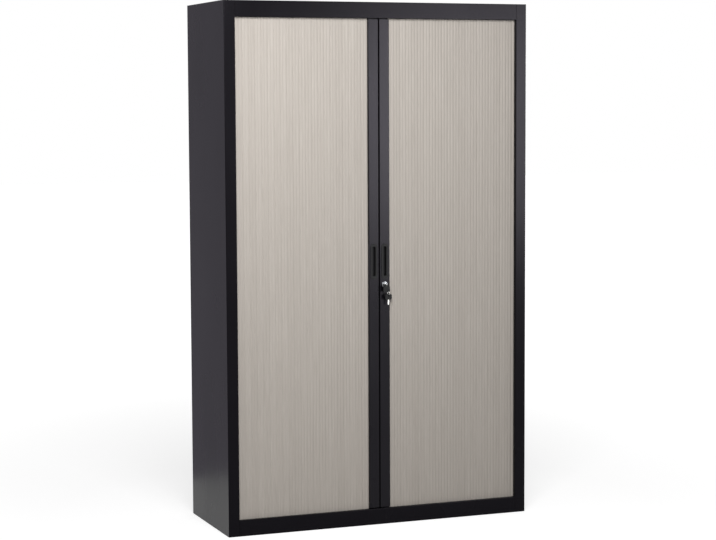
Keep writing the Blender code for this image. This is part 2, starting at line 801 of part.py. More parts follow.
def handle_cup(name, side, parent):
    """Finger cup let into the leading slat."""
    centre = (side * lead_middle, handle_level)
    face = lead_front - FIT
    cup = drawn_out(name, [rounded_rectangle(centre, cup_width(), cup_length(), cup_corner())], "XZ",
                    face - FLANGE_THICKNESS / 2, face + CUP_DEPTH)
    flange = drawn_out(name + "_flange", [rounded_rectangle(centre, FLANGE_WIDTH, FLANGE_LENGTH,
                                                           cup_corner() + FLANGE_OVERLAP)], "XZ",
                       face - FLANGE_THICKNESS, face)
    combine(cup, flange, "UNION")
    recess = drawn_out(name + "_recess", [rounded_rectangle(centre, FINGER_WIDTH, FINGER_LENGTH,
                                                           FINGER_WIDTH / 2 - FIT)], "XZ",
                       face - FLANGE_THICKNESS - OVERRUN, face + CUP_DEPTH - CUP_FLOOR)
    combine(cup, recess, "DIFFERENCE")
    return dressed(cup, black_plastic, parent)


def lead_glide(name, side, upper, parent):
    """Plug in the slat's end with a tongue that runs in the track."""
    inner_front = lead_front + LEAD_WALL + FIT
    inner_back = curtain_back - LEAD_WALL - FIT
    if upper:
        end, tip, turn = lead_top, curtain_top, 1
    else:
        end, tip, turn = lead_bottom, curtain_bottom, -1
    shoulder = end + turn * FIT
    loop = [
        (inner_front, end - turn * GLIDE_PLUG),
        (inner_back, end - turn * GLIDE_PLUG),
        (inner_back, shoulder),
        (curtain_back, shoulder),
        (curtain_back, tip),
        (curtain_front, tip),
        (curtain_front, shoulder),
        (inner_front, shoulder),
    ]
    reach = LEAD_WIDTH / 2 - LEAD_WALL - FIT
    block = drawn_out(name, [loop], "YZ", side * lead_middle - reach, side * lead_middle + reach)
    return dressed(block, black_plastic, parent)


# Lock and keys

def lock_housing(parent):
    bore = PLUG_RADIUS + PLUG_CLEARANCE
    top = BEZEL_PROUD
    profile = [
        (bore, top), (BEZEL_RADIUS - BEZEL_CHAMFER, top), (BEZEL_RADIUS, top - BEZEL_CHAMFER),
        (BEZEL_RADIUS, FIT), (BARREL_RADIUS, FIT), (BARREL_RADIUS, -BARREL_LENGTH), (bore, -BARREL_LENGTH),
    ]
    housing = turned("lock_housing", profile, (lead_middle, lead_front, lock_level), True, True)
    return dressed(housing, chrome, parent)


def lock_plug(parent):
    tail = -(hook_back + FIT - lead_front)
    profile = [
        (0.0, BEZEL_PROUD), (PLUG_RADIUS, BEZEL_PROUD), (PLUG_RADIUS, -BARREL_LENGTH),
        (PLUG_TAIL_RADIUS, -BARREL_LENGTH), (PLUG_TAIL_RADIUS, tail), (0.0, tail),
    ]
    plug = turned("lock_plug", profile, (lead_middle, lead_front, lock_level), True)
    side = KEY_THICKNESS / 2 + FIT
    rise = KEY_HEIGHT / 2 + FIT
    keyway = box("keyway", (lead_middle - side, plug_front - OVERRUN, lock_level - rise),
                 (lead_middle + side, plug_front + KEYWAY_DEPTH, lock_level + rise))
    combine(plug, keyway, "DIFFERENCE")
    return dressed(plug, chrome, parent)


def lock_hook(parent):
    """The bolt hook, which hangs down inside the slat until the key turns it out."""
    half = HOOK_SHANK / 2
    outline = [(half, -half), (nose_far - half / 2, -half), (nose_far, -half / 2), (nose_far, nose_top),
               (nose_near, nose_top), (nose_near, half), (half, half)]
    hub = [(HOOK_HUB_RADIUS * math.cos(a), HOOK_HUB_RADIUS * math.sin(a))
           for a in [math.asin(half / HOOK_HUB_RADIUS)
                     + (2 * math.pi - 2 * math.asin(half / HOOK_HUB_RADIUS)) * k / ROUND_STEPS
                     for k in range(ROUND_STEPS + 1)]]
    loop = [(lead_middle - v, lock_level - u) for u, v in outline[1:-1] + hub]
    hole = circle((lead_middle, lock_level), PLUG_TAIL_RADIUS + FIT)
    plate = drawn_out("lock_hook", [loop, hole], "XZ", hook_front, hook_back,
                      (lead_middle, hook_front, lock_level))
    return dressed(plate, zinc, parent)


def strike_plate(parent):
    """Plate inside the left leading slat that the hook catches behind."""
    slot_front = hook_front - HOOK_SLOT_PLAY
    slot_back = hook_back + HOOK_SLOT_PLAY
    low = lock_level - strike_slot_below
    high = lock_level + slot_above
    inner_front = lead_front + LEAD_WALL + FIT
    inner_back = curtain_back - LEAD_WALL - FIT
    plate = [(inner_front, low - STRIKE_MARGIN), (inner_back, low - STRIKE_MARGIN),
             (inner_back, high + STRIKE_MARGIN), (inner_front, high + STRIKE_MARGIN)]
    slot = [(slot_front, low), (slot_back, low), (slot_back, high), (slot_front, high)]
    near = -(lead_inner + LEAD_WALL + FIT)
    return dressed(drawn_out("strike_plate", [plate, slot], "YZ", near - STRIKE_THICKNESS, near), zinc, parent)


def key_blade(parent):
    """The key in the lock: blade, collar and the eye that its folding head turns on."""
    half = KEY_HEIGHT / 2
    collar = KEY_COLLAR_HEIGHT / 2
    collar_back = plug_front - KEY_COLLAR_GAP
    collar_front = collar_back - KEY_COLLAR_LENGTH
    tip = plug_front + KEY_INSERT
    length = tip - collar_back
    bits = [(collar_back + share * length, lock_level - half + KEY_BIT_DEPTH * depth)
            for share, depth in KEY_BIT_SHARES]
    stem = half * KEY_STEM_SHARE
    eye_joint = math.acos(stem / EYE_RADIUS)
    eye = []
    for step in range(ROUND_STEPS // 2 + 1):
        angle = math.pi / 2 - eye_joint + (math.pi + 2 * eye_joint) * step / (ROUND_STEPS // 2)
        eye.append((pin_plane + EYE_RADIUS * math.cos(angle), lock_level + EYE_RADIUS * math.sin(angle)))
    loop = [(tip, lock_level), (tip - half, lock_level + half), (collar_back, lock_level + half),
            (collar_back, lock_level + collar), (collar_front, lock_level + collar),
            (collar_front, lock_level + stem)]
    loop += eye
    loop += [(collar_front, lock_level - stem), (collar_front, lock_level - collar),
             (collar_back, lock_level - collar), (collar_back, lock_level - half)]
    loop += bits + [(tip - half / 2, lock_level - half / 2)]
    hole = circle((pin_plane, lock_level), PIN_RADIUS + PIN_CLEARANCE)
    blade = drawn_out("key_blade", [loop, hole], "YZ", lead_middle - KEY_THICKNESS / 2,
                      lead_middle + KEY_THICKNESS / 2)
    return dressed(blade, key_steel, parent)


def key_head(parent):
    """Folding plastic head: two ears round the blade's eye, and a hole for the ring."""
    slot = KEY_THICKNESS / 2 + EAR_PLAY
    ear = slot + EAR_WIDTH
    ear_top = lock_level + HEAD_THICKNESS / 2
    neck = lock_level - HEAD_NECK
    low = neck - HEAD_LENGTH
    body = rounded_rectangle((lead_middle, (neck + low) / 2), HEAD_WIDTH, HEAD_LENGTH, HEAD_CORNER)
    quarter = CORNER_STEPS + 1
    right_top, left_top = body[:quarter], body[quarter:2 * quarter]
    lower = body[2 * quarter:]
    loop = right_top + [(lead_middle + ear, neck), (lead_middle + ear, ear_top), (lead_middle + slot, ear_top),
                        (lead_middle + slot, neck), (lead_middle - slot, neck), (lead_middle - slot, ear_top),
                        (lead_middle - ear, ear_top), (lead_middle - ear, neck)] + left_top + lower
    hole = circle((ring_x(), ring_hole_level()), RING_HOLE_RADIUS)
    head = drawn_out("key_head", [loop, hole], "XZ", pin_plane - HEAD_THICKNESS / 2,
                     pin_plane + HEAD_THICKNESS / 2, (lead_middle, pin_plane, lock_level))
    pin = cylinder("key_pin", PIN_RADIUS, (lead_middle - slot - EAR_WIDTH / 2, pin_plane, lock_level),
                   (lead_middle + slot + EAR_WIDTH / 2, pin_plane, lock_level), "X")
    combine(head, pin, "UNION")
    hang_on(pin, parent)
    return dressed(head, black_plastic, parent)


def ring_x():
    return lead_middle + HEAD_WIDTH * RING_HOLE_SHARE


def ring_hole_level():
    return lock_level - HEAD_NECK - HEAD_LENGTH + RING_HOLE_EDGE + RING_HOLE_RADIUS


def ring_top_level():
    """Middle of the ring's wire where it hangs in the key head's hole."""
    return ring_hole_level() - ring_seat


def key_ring(parent):
    bpy.ops.mesh.primitive_torus_add(
        major_radius=RING_RADIUS, minor_radius=RING_WIRE, major_segments=ROUND_STEPS, minor_segments=8,
        rotation=(0, math.pi / 2, 0), location=(ring_x(), pin_plane, ring_top_level() - RING_RADIUS))
    ring = bpy.context.active_object
    ring.name = "key_ring"
    for collection in list(ring.users_collection):
        collection.objects.unlink(ring)
    parts.objects.link(ring)
    return dressed(ring, key_steel, parent)


def spare_hole_level():
    return ring_top_level() - 2 * RING_RADIUS - ring_seat


def spare_key(parent):
    """The second key on the ring, blade down."""
    top = spare_hole_level() + RING_HOLE_RADIUS + RING_HOLE_EDGE
    x = ring_x()
    head = rounded_rectangle((x, top - SPARE_HEAD_LENGTH / 2), HEAD_WIDTH, SPARE_HEAD_LENGTH, HEAD_CORNER)
    hole = circle((x, spare_hole_level()), RING_HOLE_RADIUS)
    thickness = HEAD_THICKNESS / 2
    plate = drawn_out("spare_key", [head, hole], "XZ", pin_plane - thickness, pin_plane + thickness,
                      (x, pin_plane, spare_hole_level()))
    half = KEY_HEIGHT / 2
    tip = top - SPARE_HEAD_LENGTH - SPARE_BLADE_LENGTH
    root = top - SPARE_HEAD_LENGTH + HEAD_CORNER
    bits = [(x + half - KEY_BIT_DEPTH * depth, tip + (top - SPARE_HEAD_LENGTH - tip) * share)
            for share, depth in KEY_BIT_SHARES]
    loop = [(x - half, root), (x - half, tip + half), (x, tip)] + bits + [(x + half, root)]
    blade = drawn_out("spare_blade", [loop], "XZ", pin_plane - KEY_THICKNESS / 2, pin_plane + KEY_THICKNESS / 2)
    combine(plate, blade, "UNION")
    hang_on(blade, parent)
    return dressed(plate, key_steel, parent)


def build_body():
    side_panel("left_side_panel", -1)
    side_panel("right_side_panel", 1)
    top_panel()
    base_panel()
    ceiling_panel()
    back_panel()
    side_liner("left_liner", -1)
    side_liner("right_liner", 1)
    back_liner()
    floor_panel()
    for word, side in (("left", -1), ("right", 1)):
        track(word + "_bottom_track", side, floor_level + FIT, True)
        track(word + "_top_track", side, ceiling_level - FIT - TRACK_HEIGHT, False)


def build_shelves():
    for number in range(1, SHELF_COUNT + 1):
        shelf(number)
        for word_x, side in (("left", -1), ("right", 1)):
            for word_y, column in zip(("front", "rear"), slot_columns):
                shelf_clip("shelf_clip_%d_%s_%s" % (number, word_x, word_y), side, column, shelf_row(number))


def build_feet():
    for word, x, y in foot_places():
        levelling_foot(word, x, y)


def build_doors():
    left = joint_empty("left_door", (-lead_middle, lead_front, handle_level))
    right = joint_empty("right_door", (lead_middle, lead_front, handle_level))
    for word, side, door in (("left", -1, left), ("right", 1, right)):
        curtain(word + "_curtain", side, door)
        lead_slat(word + "_lead_slat", side, door)
        handle_cup(word + "_handle", side, door)
        lead_glide(word + "_top_glide", side, True, door)
        lead_glide(word + "_bottom_glide", side, False, door)
    strike_plate(left)
    return right


def build_lock(door):
    turning = joint_empty("lock_turn", (lead_middle, lead_front, lock_level), door)
    pulling = joint_empty("key_pull", (lead_middle, plug_front, lock_level), turning)
    folding = joint_empty("key_fold", (lead_middle, pin_plane, lock_level), pulling)
    swinging = joint_empty("ring_swing", (ring_x(), pin_plane, ring_top_level()), folding)
    hanging = joint_empty("spare_swing", (ring_x(), pin_plane, ring_top_level() - 2 * RING_RADIUS), swinging)
    lock_housing(door)
    lock_plug(turning)
    lock_hook(turning)
    key_blade(pulling)
    key_head(folding)
    key_ring(swinging)
    spare_key(hanging)


def shade_round_pieces():
    for solid in parts.objects:
        if solid.type == "MESH":
            solid.data.shade_smooth()
            solid.data.set_sharp_from_angle(angle=math.radians(SMOOTH_BELOW_DEG))


build_body()
build_shelves()
build_feet()
build_lock(build_doors())
shade_round_pieces()
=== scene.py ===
# Looks of the tambour door cabinet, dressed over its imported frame
import json
import math

import bmesh
import bpy
from mathutils import Matrix, Vector

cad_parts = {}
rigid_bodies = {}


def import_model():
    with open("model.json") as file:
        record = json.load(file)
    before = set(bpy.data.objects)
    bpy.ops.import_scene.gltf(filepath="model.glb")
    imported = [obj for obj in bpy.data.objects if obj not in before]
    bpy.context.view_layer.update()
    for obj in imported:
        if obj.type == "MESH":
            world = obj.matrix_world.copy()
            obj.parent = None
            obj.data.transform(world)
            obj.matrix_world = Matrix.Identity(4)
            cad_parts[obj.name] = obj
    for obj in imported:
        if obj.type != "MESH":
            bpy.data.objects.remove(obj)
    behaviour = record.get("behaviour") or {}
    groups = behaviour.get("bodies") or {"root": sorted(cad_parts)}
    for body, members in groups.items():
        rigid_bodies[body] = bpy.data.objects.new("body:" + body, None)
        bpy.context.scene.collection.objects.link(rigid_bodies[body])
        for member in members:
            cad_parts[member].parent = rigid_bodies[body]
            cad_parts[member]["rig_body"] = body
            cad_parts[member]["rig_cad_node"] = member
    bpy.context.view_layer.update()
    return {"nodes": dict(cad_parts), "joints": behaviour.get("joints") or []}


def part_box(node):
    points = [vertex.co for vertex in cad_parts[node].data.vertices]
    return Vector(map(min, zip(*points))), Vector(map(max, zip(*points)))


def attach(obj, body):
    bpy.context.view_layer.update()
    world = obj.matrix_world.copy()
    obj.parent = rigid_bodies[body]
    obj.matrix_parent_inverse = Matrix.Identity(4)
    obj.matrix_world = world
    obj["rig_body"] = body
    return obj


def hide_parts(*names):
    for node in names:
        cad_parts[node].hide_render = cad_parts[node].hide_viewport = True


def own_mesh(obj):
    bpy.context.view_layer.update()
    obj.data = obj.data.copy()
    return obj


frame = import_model()

fit = 0.0003        # gap between neighbours
overrun = 0.004     # how far a cutter runs past what it cuts
near = 0.00002      # how close two places count as the same
aligned = 0.9       # cosine above which a direction counts as lying along an axis
sides = {"left": -1, "right": 1}


# Selecting and shaping

def selectOnly(piece):
    bpy.ops.object.select_all(action="DESELECT")
    piece.select_set(True)
    bpy.context.view_layer.objects.active = piece


def startEditing(piece):
    selectOnly(piece)
    bpy.ops.object.mode_set(mode="EDIT")
    bpy.ops.mesh.select_all(action="DESELECT")


def stopEditing():
    bpy.ops.object.mode_set(mode="OBJECT")


def pickFaces(piece, test):
    bpy.ops.mesh.select_all(action="DESELECT")
    bpy.ops.mesh.select_mode(type="FACE")
    shape = bmesh.from_edit_mesh(piece.data)
    for face in shape.faces:
        if test(face.calc_center_median(), face.normal):
            face.select_set(True)
    bmesh.update_edit_mesh(piece.data)


def pickEdges(piece, test):
    bpy.ops.mesh.select_all(action="DESELECT")
    bpy.ops.mesh.select_mode(type="EDGE")
    shape = bmesh.from_edit_mesh(piece.data)
    for edge in shape.edges:
        first, second = edge.verts[0].co, edge.verts[1].co
        if test((first + second) / 2, (second - first).normalized()):
            edge.select_set(True)
    bmesh.update_edit_mesh(piece.data)


# Names what a primitive operator has just added and bakes its place into its mesh
def freshPiece(name):
    piece = bpy.context.active_object
    piece.name = name
    piece.data.name = name
    bpy.ops.object.transform_apply(location=True, rotation=True, scale=True)
    return piece


def addBlock(name, low, high):
    bpy.ops.object.select_all(action="DESELECT")
    low, high = Vector(low), Vector(high)
    bpy.ops.mesh.primitive_cube_add(size=1, location=(low + high) / 2, scale=high - low)
    return freshPiece(name)


# A round bar between two points
def addRound(name, radius, low, high, steps=64):
    bpy.ops.object.select_all(action="DESELECT")
    low, high = Vector(low), Vector(high)
    turn = (high - low).to_track_quat("Z", "Y").to_euler()
    bpy.ops.mesh.primitive_cylinder_add(vertices=steps, radius=radius, depth=(high - low).length,
                                        location=(low + high) / 2, rotation=turn)
    return freshPiece(name)


def applyStep(piece, kind, **values):
    selectOnly(piece)
    step = piece.modifiers.new(kind.lower(), kind)
    for key, value in values.items():
        setattr(step, key, value)
    bpy.ops.object.modifier_apply(modifier=step.name)


def softenEdges(piece, width, segments=2, angle=40):
    applyStep(piece, "BEVEL", width=width, segments=segments, limit_method="ANGLE",
              angle_limit=math.radians(angle), use_clamp_overlap=True)


# Cuts other pieces out of a piece, or joins them to it, and clears them away
def combine(piece, *others, operation="DIFFERENCE"):
    for other in others:
        applyStep(piece, "BOOLEAN", object=other, operation=operation, solver="EXACT")
        bpy.data.objects.remove(other, do_unlink=True)


def smooth(piece, angle=35, flats=True):
    selectOnly(piece)
    bpy.ops.object.shade_smooth_by_angle(angle=math.radians(angle))
    if flats:       # flat faces shade flat up to their rounded edges
        applyStep(piece, "WEIGHTED_NORMAL", mode="FACE_AREA", weight=100, keep_sharp=True)


# Finishes a piece that stands for a node: its shading, its material by slot name and its body, and hides the
# node it replaces
def dress(piece, node, rides=None, slotName=None, angle=35, flats=True):
    slotName = slotName or slotOf(node)
    smooth(piece, angle, flats)
    piece.data.materials.clear()
    piece.data.materials.append(slotMaterials[slotName])
    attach(piece, rides or frame["nodes"][node]["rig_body"])
    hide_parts(node)


# A strip that runs from bend to bend, left in edit mode with all of it selected
def startStrip(name, bends, rise):
    run = bends[1] - bends[0]
    across, up = run.normalized(), rise.normalized()
    turn = Matrix((across, up, across.cross(up))).transposed()
    bpy.ops.object.select_all(action="DESELECT")
    bpy.ops.mesh.primitive_plane_add(size=1, location=(bends[0] + bends[1] + rise) / 2,
                                     rotation=turn.to_euler())
    bpy.ops.transform.resize(value=(run.length, rise.length, 1), orient_type="LOCAL")
    piece = freshPiece(name)
    startEditing(piece)
    pickEdges(piece, lambda middle, way: (middle - bends[1] - rise / 2).length < near)
    for here, there in zip(bends[1:], bends[2:]):
        bpy.ops.mesh.extrude_region_move(TRANSFORM_OT_translate={"value": there - here})
    bpy.ops.mesh.select_all(action="SELECT")
    return piece


# Sheet steel folded strip by strip along its outer face, then thickened inwards
def foldSheet(name, bends, rise):
    piece = startStrip(name, [Vector(place) for place in bends], Vector(rise))
    bpy.ops.mesh.remove_doubles(threshold=near)
    bpy.ops.mesh.normals_make_consistent(inside=False)
    stopEditing()
    softenEdges(piece, body["bend"], segments=body["bendSteps"], angle=30)
    applyStep(piece, "SOLIDIFY", thickness=body["sheet"], offset=-sheetOutward(piece),
              use_even_offset=True)
    softenEdges(piece, body["cutEdge"], segments=2, angle=60)
    return piece


# 1 where the open sheet's faces look away from the middle of its own folds, else -1
def sheetOutward(piece):
    low = Vector(map(min, zip(*[v.co for v in piece.data.vertices])))
    high = Vector(map(max, zip(*[v.co for v in piece.data.vertices])))
    middle = (low + high) / 2
    score = sum((p.center - middle).dot(p.normal) * p.area for p in piece.data.polygons)
    return 1 if score > 0 else -1


# A closed outline in plan, raised from one level to another and capped
def uprightOutline(name, points, low, high):
    bends = [Vector((x, y, low)) for x, y in points]
    piece = startStrip(name, bends + bends[:1], Vector((0, 0, high - low)))
    bpy.ops.mesh.remove_doubles(threshold=near / 4)
    for level in (low, high):
        pickEdges(piece, lambda middle, way: abs(middle.z - level) < near)
        bpy.ops.mesh.edge_face_add()
    bpy.ops.mesh.select_all(action="SELECT")
    bpy.ops.mesh.normals_make_consistent(inside=False)
    stopEditing()
    return piece


# A merged copy of a node of the frame with its edges rounded, or of what lies on one side of a cut
def softCopy(node, name, width, segments=2, cut=None, keepAbove=True):
    source = frame["nodes"][node]
    piece = source.copy()
    piece.data = source.data.copy()
    bpy.context.scene.collection.objects.link(piece)
    piece.parent = None
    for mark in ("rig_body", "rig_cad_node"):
        del piece[mark]
    piece.name = name
    piece.data.name = name
    startEditing(piece)
    bpy.ops.mesh.customdata_custom_splitnormals_clear()
    bpy.ops.mesh.select_all(action="SELECT")
    bpy.ops.mesh.remove_doubles(threshold=near / 2)
    bpy.ops.mesh.dissolve_limited(angle_limit=math.radians(1))
    if cut is not None:
        bpy.ops.mesh.select_all(action="SELECT")
        bpy.ops.mesh.bisect(plane_co=(0, 0, cut), plane_no=(0, 0, 1), use_fill=True,
                            clear_inner=keepAbove, clear_outer=not keepAbove)
    stopEditing()
    softenEdges(piece, width, segments, angle=30)
    return piece


# Materials

noiseSpan = (0.3, 0.7)          # nearly all of a noise's values lie between these
rubScale = (60, 60, 40)         # patches of wear on plastic, to the metre
hazeScale = (180, 180, 180)     # patches of haze on plated metal, to the metre


def addNode(tree, kind, values=None, **settings):
    node = tree.nodes.new("ShaderNode" + kind)
    for key, value in settings.items():
        setattr(node, key, value)
    for socket, value in (values or {}).items():
        node.inputs[socket].default_value = value
    return node


def startMaterial(name, values):
    material = bpy.data.materials.new(name)
    material.use_nodes = True
    tree = material.node_tree
    shader = tree.nodes["Principled BSDF"]
    for socket, value in values.items():
        shader.inputs[socket].default_value = value
    return material, tree, shader


# Coordinates in metres, stretched so that one unit is one grain of the pattern
def patternOn(tree, scale, source="Object"):
    place = addNode(tree, "TexCoord")
    stretch = addNode(tree, "Mapping", {"Scale": scale})
    tree.links.new(place.outputs[source], stretch.inputs["Vector"])
    return stretch.outputs["Vector"]


def noiseOn(tree, vector, detail):
    noise = addNode(tree, "TexNoise", {"Scale": 1.0, "Detail": detail, "Roughness": 0.5})
    tree.links.new(vector, noise.inputs["Vector"])
    return noise.outputs["Fac"]


# Spreads a factor's span over the values from low to high
def between(tree, factor, low, high, span=noiseSpan):
    spread = addNode(tree, "MapRange", {
        "From Min": span[0], "From Max": span[1], "To Min": low, "To Max": high})
    tree.links.new(factor, spread.inputs["Value"])
    return spread.outputs["Result"]


def added(tree, first, second):
    total = addNode(tree, "Math", operation="ADD")
    tree.links.new(first, total.inputs[0])
    tree.links.new(second, total.inputs[1])
    return total.outputs[0]


def tones(tree, factor, stops):
    ramp = addNode(tree, "ValToRGB")
    while len(ramp.color_ramp.elements) < len(stops):
        ramp.color_ramp.elements.new(0.5)
    for element, (place, colour) in zip(ramp.color_ramp.elements, stops):
        element.position = place
        element.color = (*colour, 1)
    tree.links.new(factor, ramp.inputs["Fac"])
    return ramp.outputs["Color"]


# Lets the colour and the roughness follow one noise
def shadeBy(tree, shader, noise, look):
    stops = ((noiseSpan[0], look["dark"]), (noiseSpan[1], look["light"]))
    tree.links.new(tones(tree, noise, stops), shader.inputs["Base Color"])
    tree.links.new(between(tree, noise, *look["roughness"]), shader.inputs["Roughness"])


def bumpOn(tree, shader, height, depth, before=None):
    bump = addNode(tree, "Bump", {"Strength": 1.0, "Distance": depth})
    tree.links.new(height, bump.inputs["Height"])
    if before is not None:
        tree.links.new(before, bump.inputs["Normal"])
    tree.links.new(bump.outputs["Normal"], shader.inputs["Normal"])
    return bump.outputs["Normal"]


# Baked powder paint: a fine orange peel over a slow waviness of the sheet
def powderCoat(name, look):
    material, tree, shader = startMaterial(name, {
        "Specular IOR Level": look["specular"], "Specular Tint": (*look["tint"], 1)})
    grain = 1 / look["peelSize"]
    wave = 1 / look["waveSize"]
    peel = noiseOn(tree, patternOn(tree, (grain, grain, grain)), detail=3)
    cloud = noiseOn(tree, patternOn(tree, (wave, wave, wave / 2)), detail=4)
    shadeBy(tree, shader, cloud, look)
    slow = bumpOn(tree, shader, cloud, look["waveDepth"])
    bumpOn(tree, shader, peel, look["peelDepth"], before=slow)
    return material


# Spark-eroded plastic: a fine even grain with a faint sheen from handling
def mouldedPlastic(name, look):
    material, tree, shader = startMaterial(name, {"Specular IOR Level": look["specular"]})
    grain = 1 / look["grainSize"]
    cells = addNode(tree, "TexVoronoi", {"Scale": 1.0}, feature="SMOOTH_F1")
    tree.links.new(patternOn(tree, (grain, grain, grain)), cells.inputs["Vector"])
    shadeBy(tree, shader, noiseOn(tree, patternOn(tree, rubScale), detail=3), look)
    bumpOn(tree, shader, cells.outputs["Distance"], look["grainDepth"])
    return material


# Plated metal with a fine grain, even or drawn out one way, and a little haze
def brightMetal(name, look):
    material, tree, shader = startMaterial(name, {"Metallic": 1.0, "Specular IOR Level": 0.5})
    brushed = noiseOn(tree, patternOn(tree, look["brushScale"]), detail=3)
    shadeBy(tree, shader, noiseOn(tree, patternOn(tree, hazeScale), detail=4), look)
    bumpOn(tree, shader, brushed, look["brushDepth"])
    return material


# Extruded slats: fine broken streaks along each slat, and slats that differ a little
def slatPlastic(name, look):
    material, tree, shader = startMaterial(name, {"Specular IOR Level": look["specular"]})

    def streaks(across, along):
        return patternOn(tree, (across / look["streakWidth"], along / look["streakLength"], 1), "UV")

    streak = noiseOn(tree, streaks(1, 1), detail=2)
    fine = noiseOn(tree, streaks(*look["fineRatio"]), detail=3)
    slow = noiseOn(tree, patternOn(tree, look["slowScale"], "UV"), detail=2)
    # Which slat a point is on, and that slat's own tint
    steps = addNode(tree, "TexWhiteNoise", noise_dimensions="1D")
    place = addNode(tree, "SeparateXYZ")
    tree.links.new(patternOn(tree, (1 / look["pitch"], 1, 1), "UV"), place.inputs["Vector"])
    shift = addNode(tree, "Math", {1: -look["start"] / look["pitch"]}, operation="ADD")
    whole = addNode(tree, "Math", operation="FLOOR")
    tree.links.new(place.outputs["X"], shift.inputs[0])
    tree.links.new(shift.outputs[0], whole.inputs[0])
    tree.links.new(whole.outputs[0], steps.inputs["W"])
    tone = between(tree, streak, -look["streak"], look["streak"])
    for more in (between(tree, fine, -look["fine"], look["fine"]),
                 between(tree, slow, 0.5 - look["slow"], 0.5 + look["slow"]),
                 between(tree, steps.outputs["Value"], -look["slat"], look["slat"], span=(0, 1))):
        tone = added(tree, tone, more)
    stops = ((0.0, look["dark"]), (0.5, look["middle"]), (1.0, look["light"]))
    tree.links.new(tones(tree, tone, stops), shader.inputs["Base Color"])
    tree.links.new(between(tree, fine, *look["roughness"]), shader.inputs["Roughness"])
    bumpOn(tree, shader, streak, look["streakDepth"])
    return material


bodyCoat = powderCoat("body_powder_coat", {
    "dark": (0.0024, 0.0020, 0.0032), "light": (0.0036, 0.0031, 0.0046),
    "roughness": (0.24, 0.29), "tint": (0.94, 0.89, 1.0), "specular": 0.072,
    "peelSize": 0.0018, "peelDepth": 0.00003, "waveSize": 0.22, "waveDepth": 0.0002})
leadCoat = powderCoat("lead_powder_coat", {
    "dark": (0.0036, 0.0032, 0.0045), "light": (0.0052, 0.0048, 0.0062),
    "roughness": (0.26, 0.31), "tint": (0.94, 0.89, 1.0), "specular": 0.135,
    "peelSize": 0.0016, "peelDepth": 0.00003, "waveSize": 0.16, "waveDepth": 0.00008})
shelfCoat = powderCoat("shelf_powder_coat", {
    "dark": (0.0090, 0.0088, 0.0105), "light": (0.0125, 0.0122, 0.0142),
    "roughness": (0.40, 0.50), "tint": (1, 1, 1), "specular": 0.20,
    "peelSize": 0.0018, "peelDepth": 0.00003, "waveSize": 0.20, "waveDepth": 0.0004})
taupeSlats = slatPlastic("taupe_slats", {
    "dark": (0.388, 0.352, 0.316), "middle": (0.488, 0.446, 0.404), "light": (0.590, 0.546, 0.502),
    "streakWidth": 0.0030, "streakLength": 0.22, "streak": 0.13, "fine": 0.12, "slow": 0.03, "slat": 0.05,
    "fineRatio": (2.6, 3.1), "slowScale": (3.0, 1.4, 1), "streakDepth": 0.00008, "pitch": 0.0242,
    "start": 0.0418, "roughness": (0.50, 0.60), "specular": 0.12})
blackPlastic = mouldedPlastic("black_plastic", {
    "dark": (0.0060, 0.0060, 0.0066), "light": (0.0090, 0.0090, 0.0098), "roughness": (0.36, 0.48),
    "specular": 0.12, "grainSize": 0.0006, "grainDepth": 0.00003})
trackPlastic = mouldedPlastic("track_plastic", {
    "dark": (0.0090, 0.0090, 0.0096), "light": (0.0130, 0.0130, 0.0138), "roughness": (0.34, 0.44),
    "specular": 0.20, "grainSize": 0.0010, "grainDepth": 0.00002})
chrome = brightMetal("chromed_zinc", {
    "dark": (0.30, 0.31, 0.33), "light": (0.42, 0.43, 0.45), "roughness": (0.12, 0.20),
    "brushScale": (900, 900, 900), "brushDepth": 0.000004})
zinc = brightMetal("zinc_plate", {
    "dark": (0.40, 0.41, 0.42), "light": (0.54, 0.55, 0.56), "roughness": (0.30, 0.42),
    "brushScale": (500, 500, 2500), "brushDepth": 0.00001})
nickel = brightMetal("nickel_key", {
    "dark": (0.52, 0.51, 0.49), "light": (0.68, 0.67, 0.65), "roughness": (0.22, 0.32),
    "brushScale": (2500, 2500, 400), "brushDepth": 0.000008})

slotMaterials = {
    "body_coat": bodyCoat, "shelf_coat": shelfCoat, "lead_coat": leadCoat, "tambour_slats": taupeSlats,
    "track_plastic": trackPlastic, "black_plastic": blackPlastic, "chromed_lock": chrome,
    "zinc_plate": zinc, "nickel_key": nickel}

nodeSlots = {
    "body_coat": ("side_panel", "top_panel", "base_panel", "ceiling_panel", "back_panel", "liner"),
    "shelf_coat": ("shelf_1", "shelf_2", "shelf_3", "shelf_4", "floor_panel"),
    "lead_coat": ("lead_slat",),
    "tambour_slats": ("curtain",),
    "track_plastic": ("track",),
    "black_plastic": ("handle", "glide", "foot_pad", "key_head"),
    "chromed_lock": ("lock_housing", "lock_plug"),
    "zinc_plate": ("clip", "foot_stud", "strike_plate", "lock_hook"),
    "nickel_key": ("key_blade", "key_ring", "spare_key")}


def slotOf(node):
    return next(slotName for slotName, words in nodeSlots.items() if any(word in node for word in words))


def coatNodes():
    for name, node in frame["nodes"].items():
        material = slotMaterials[slotOf(name)]
        if not node.material_slots:
            node.data.materials.append(material)
        for place in node.material_slots:
            place.material = material


coatNodes()
print("materials are on the frame's nodes")


# Folded steel body

body = {
    "sheet": 0.001, "bend": 0.0022, "stileWidth": 0.042, "stileDepth": 0.0165, "rearFlange": 0.020,
    "header": 0.060, "plinth": 0.060, "lipDepth": 0.0148, "seam": 0.00005, "cutEdge": 0.00018,
    "bendSteps": 6, "holeSides": 32}
sideLow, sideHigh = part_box("right_side_panel")
front, back, halfWidth = sideLow.y, sideHigh.y, sideHigh.x
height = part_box("top_panel")[1].z
stileEdge = halfWidth - body["stileWidth"]
lipBack = front + body["lipDepth"]


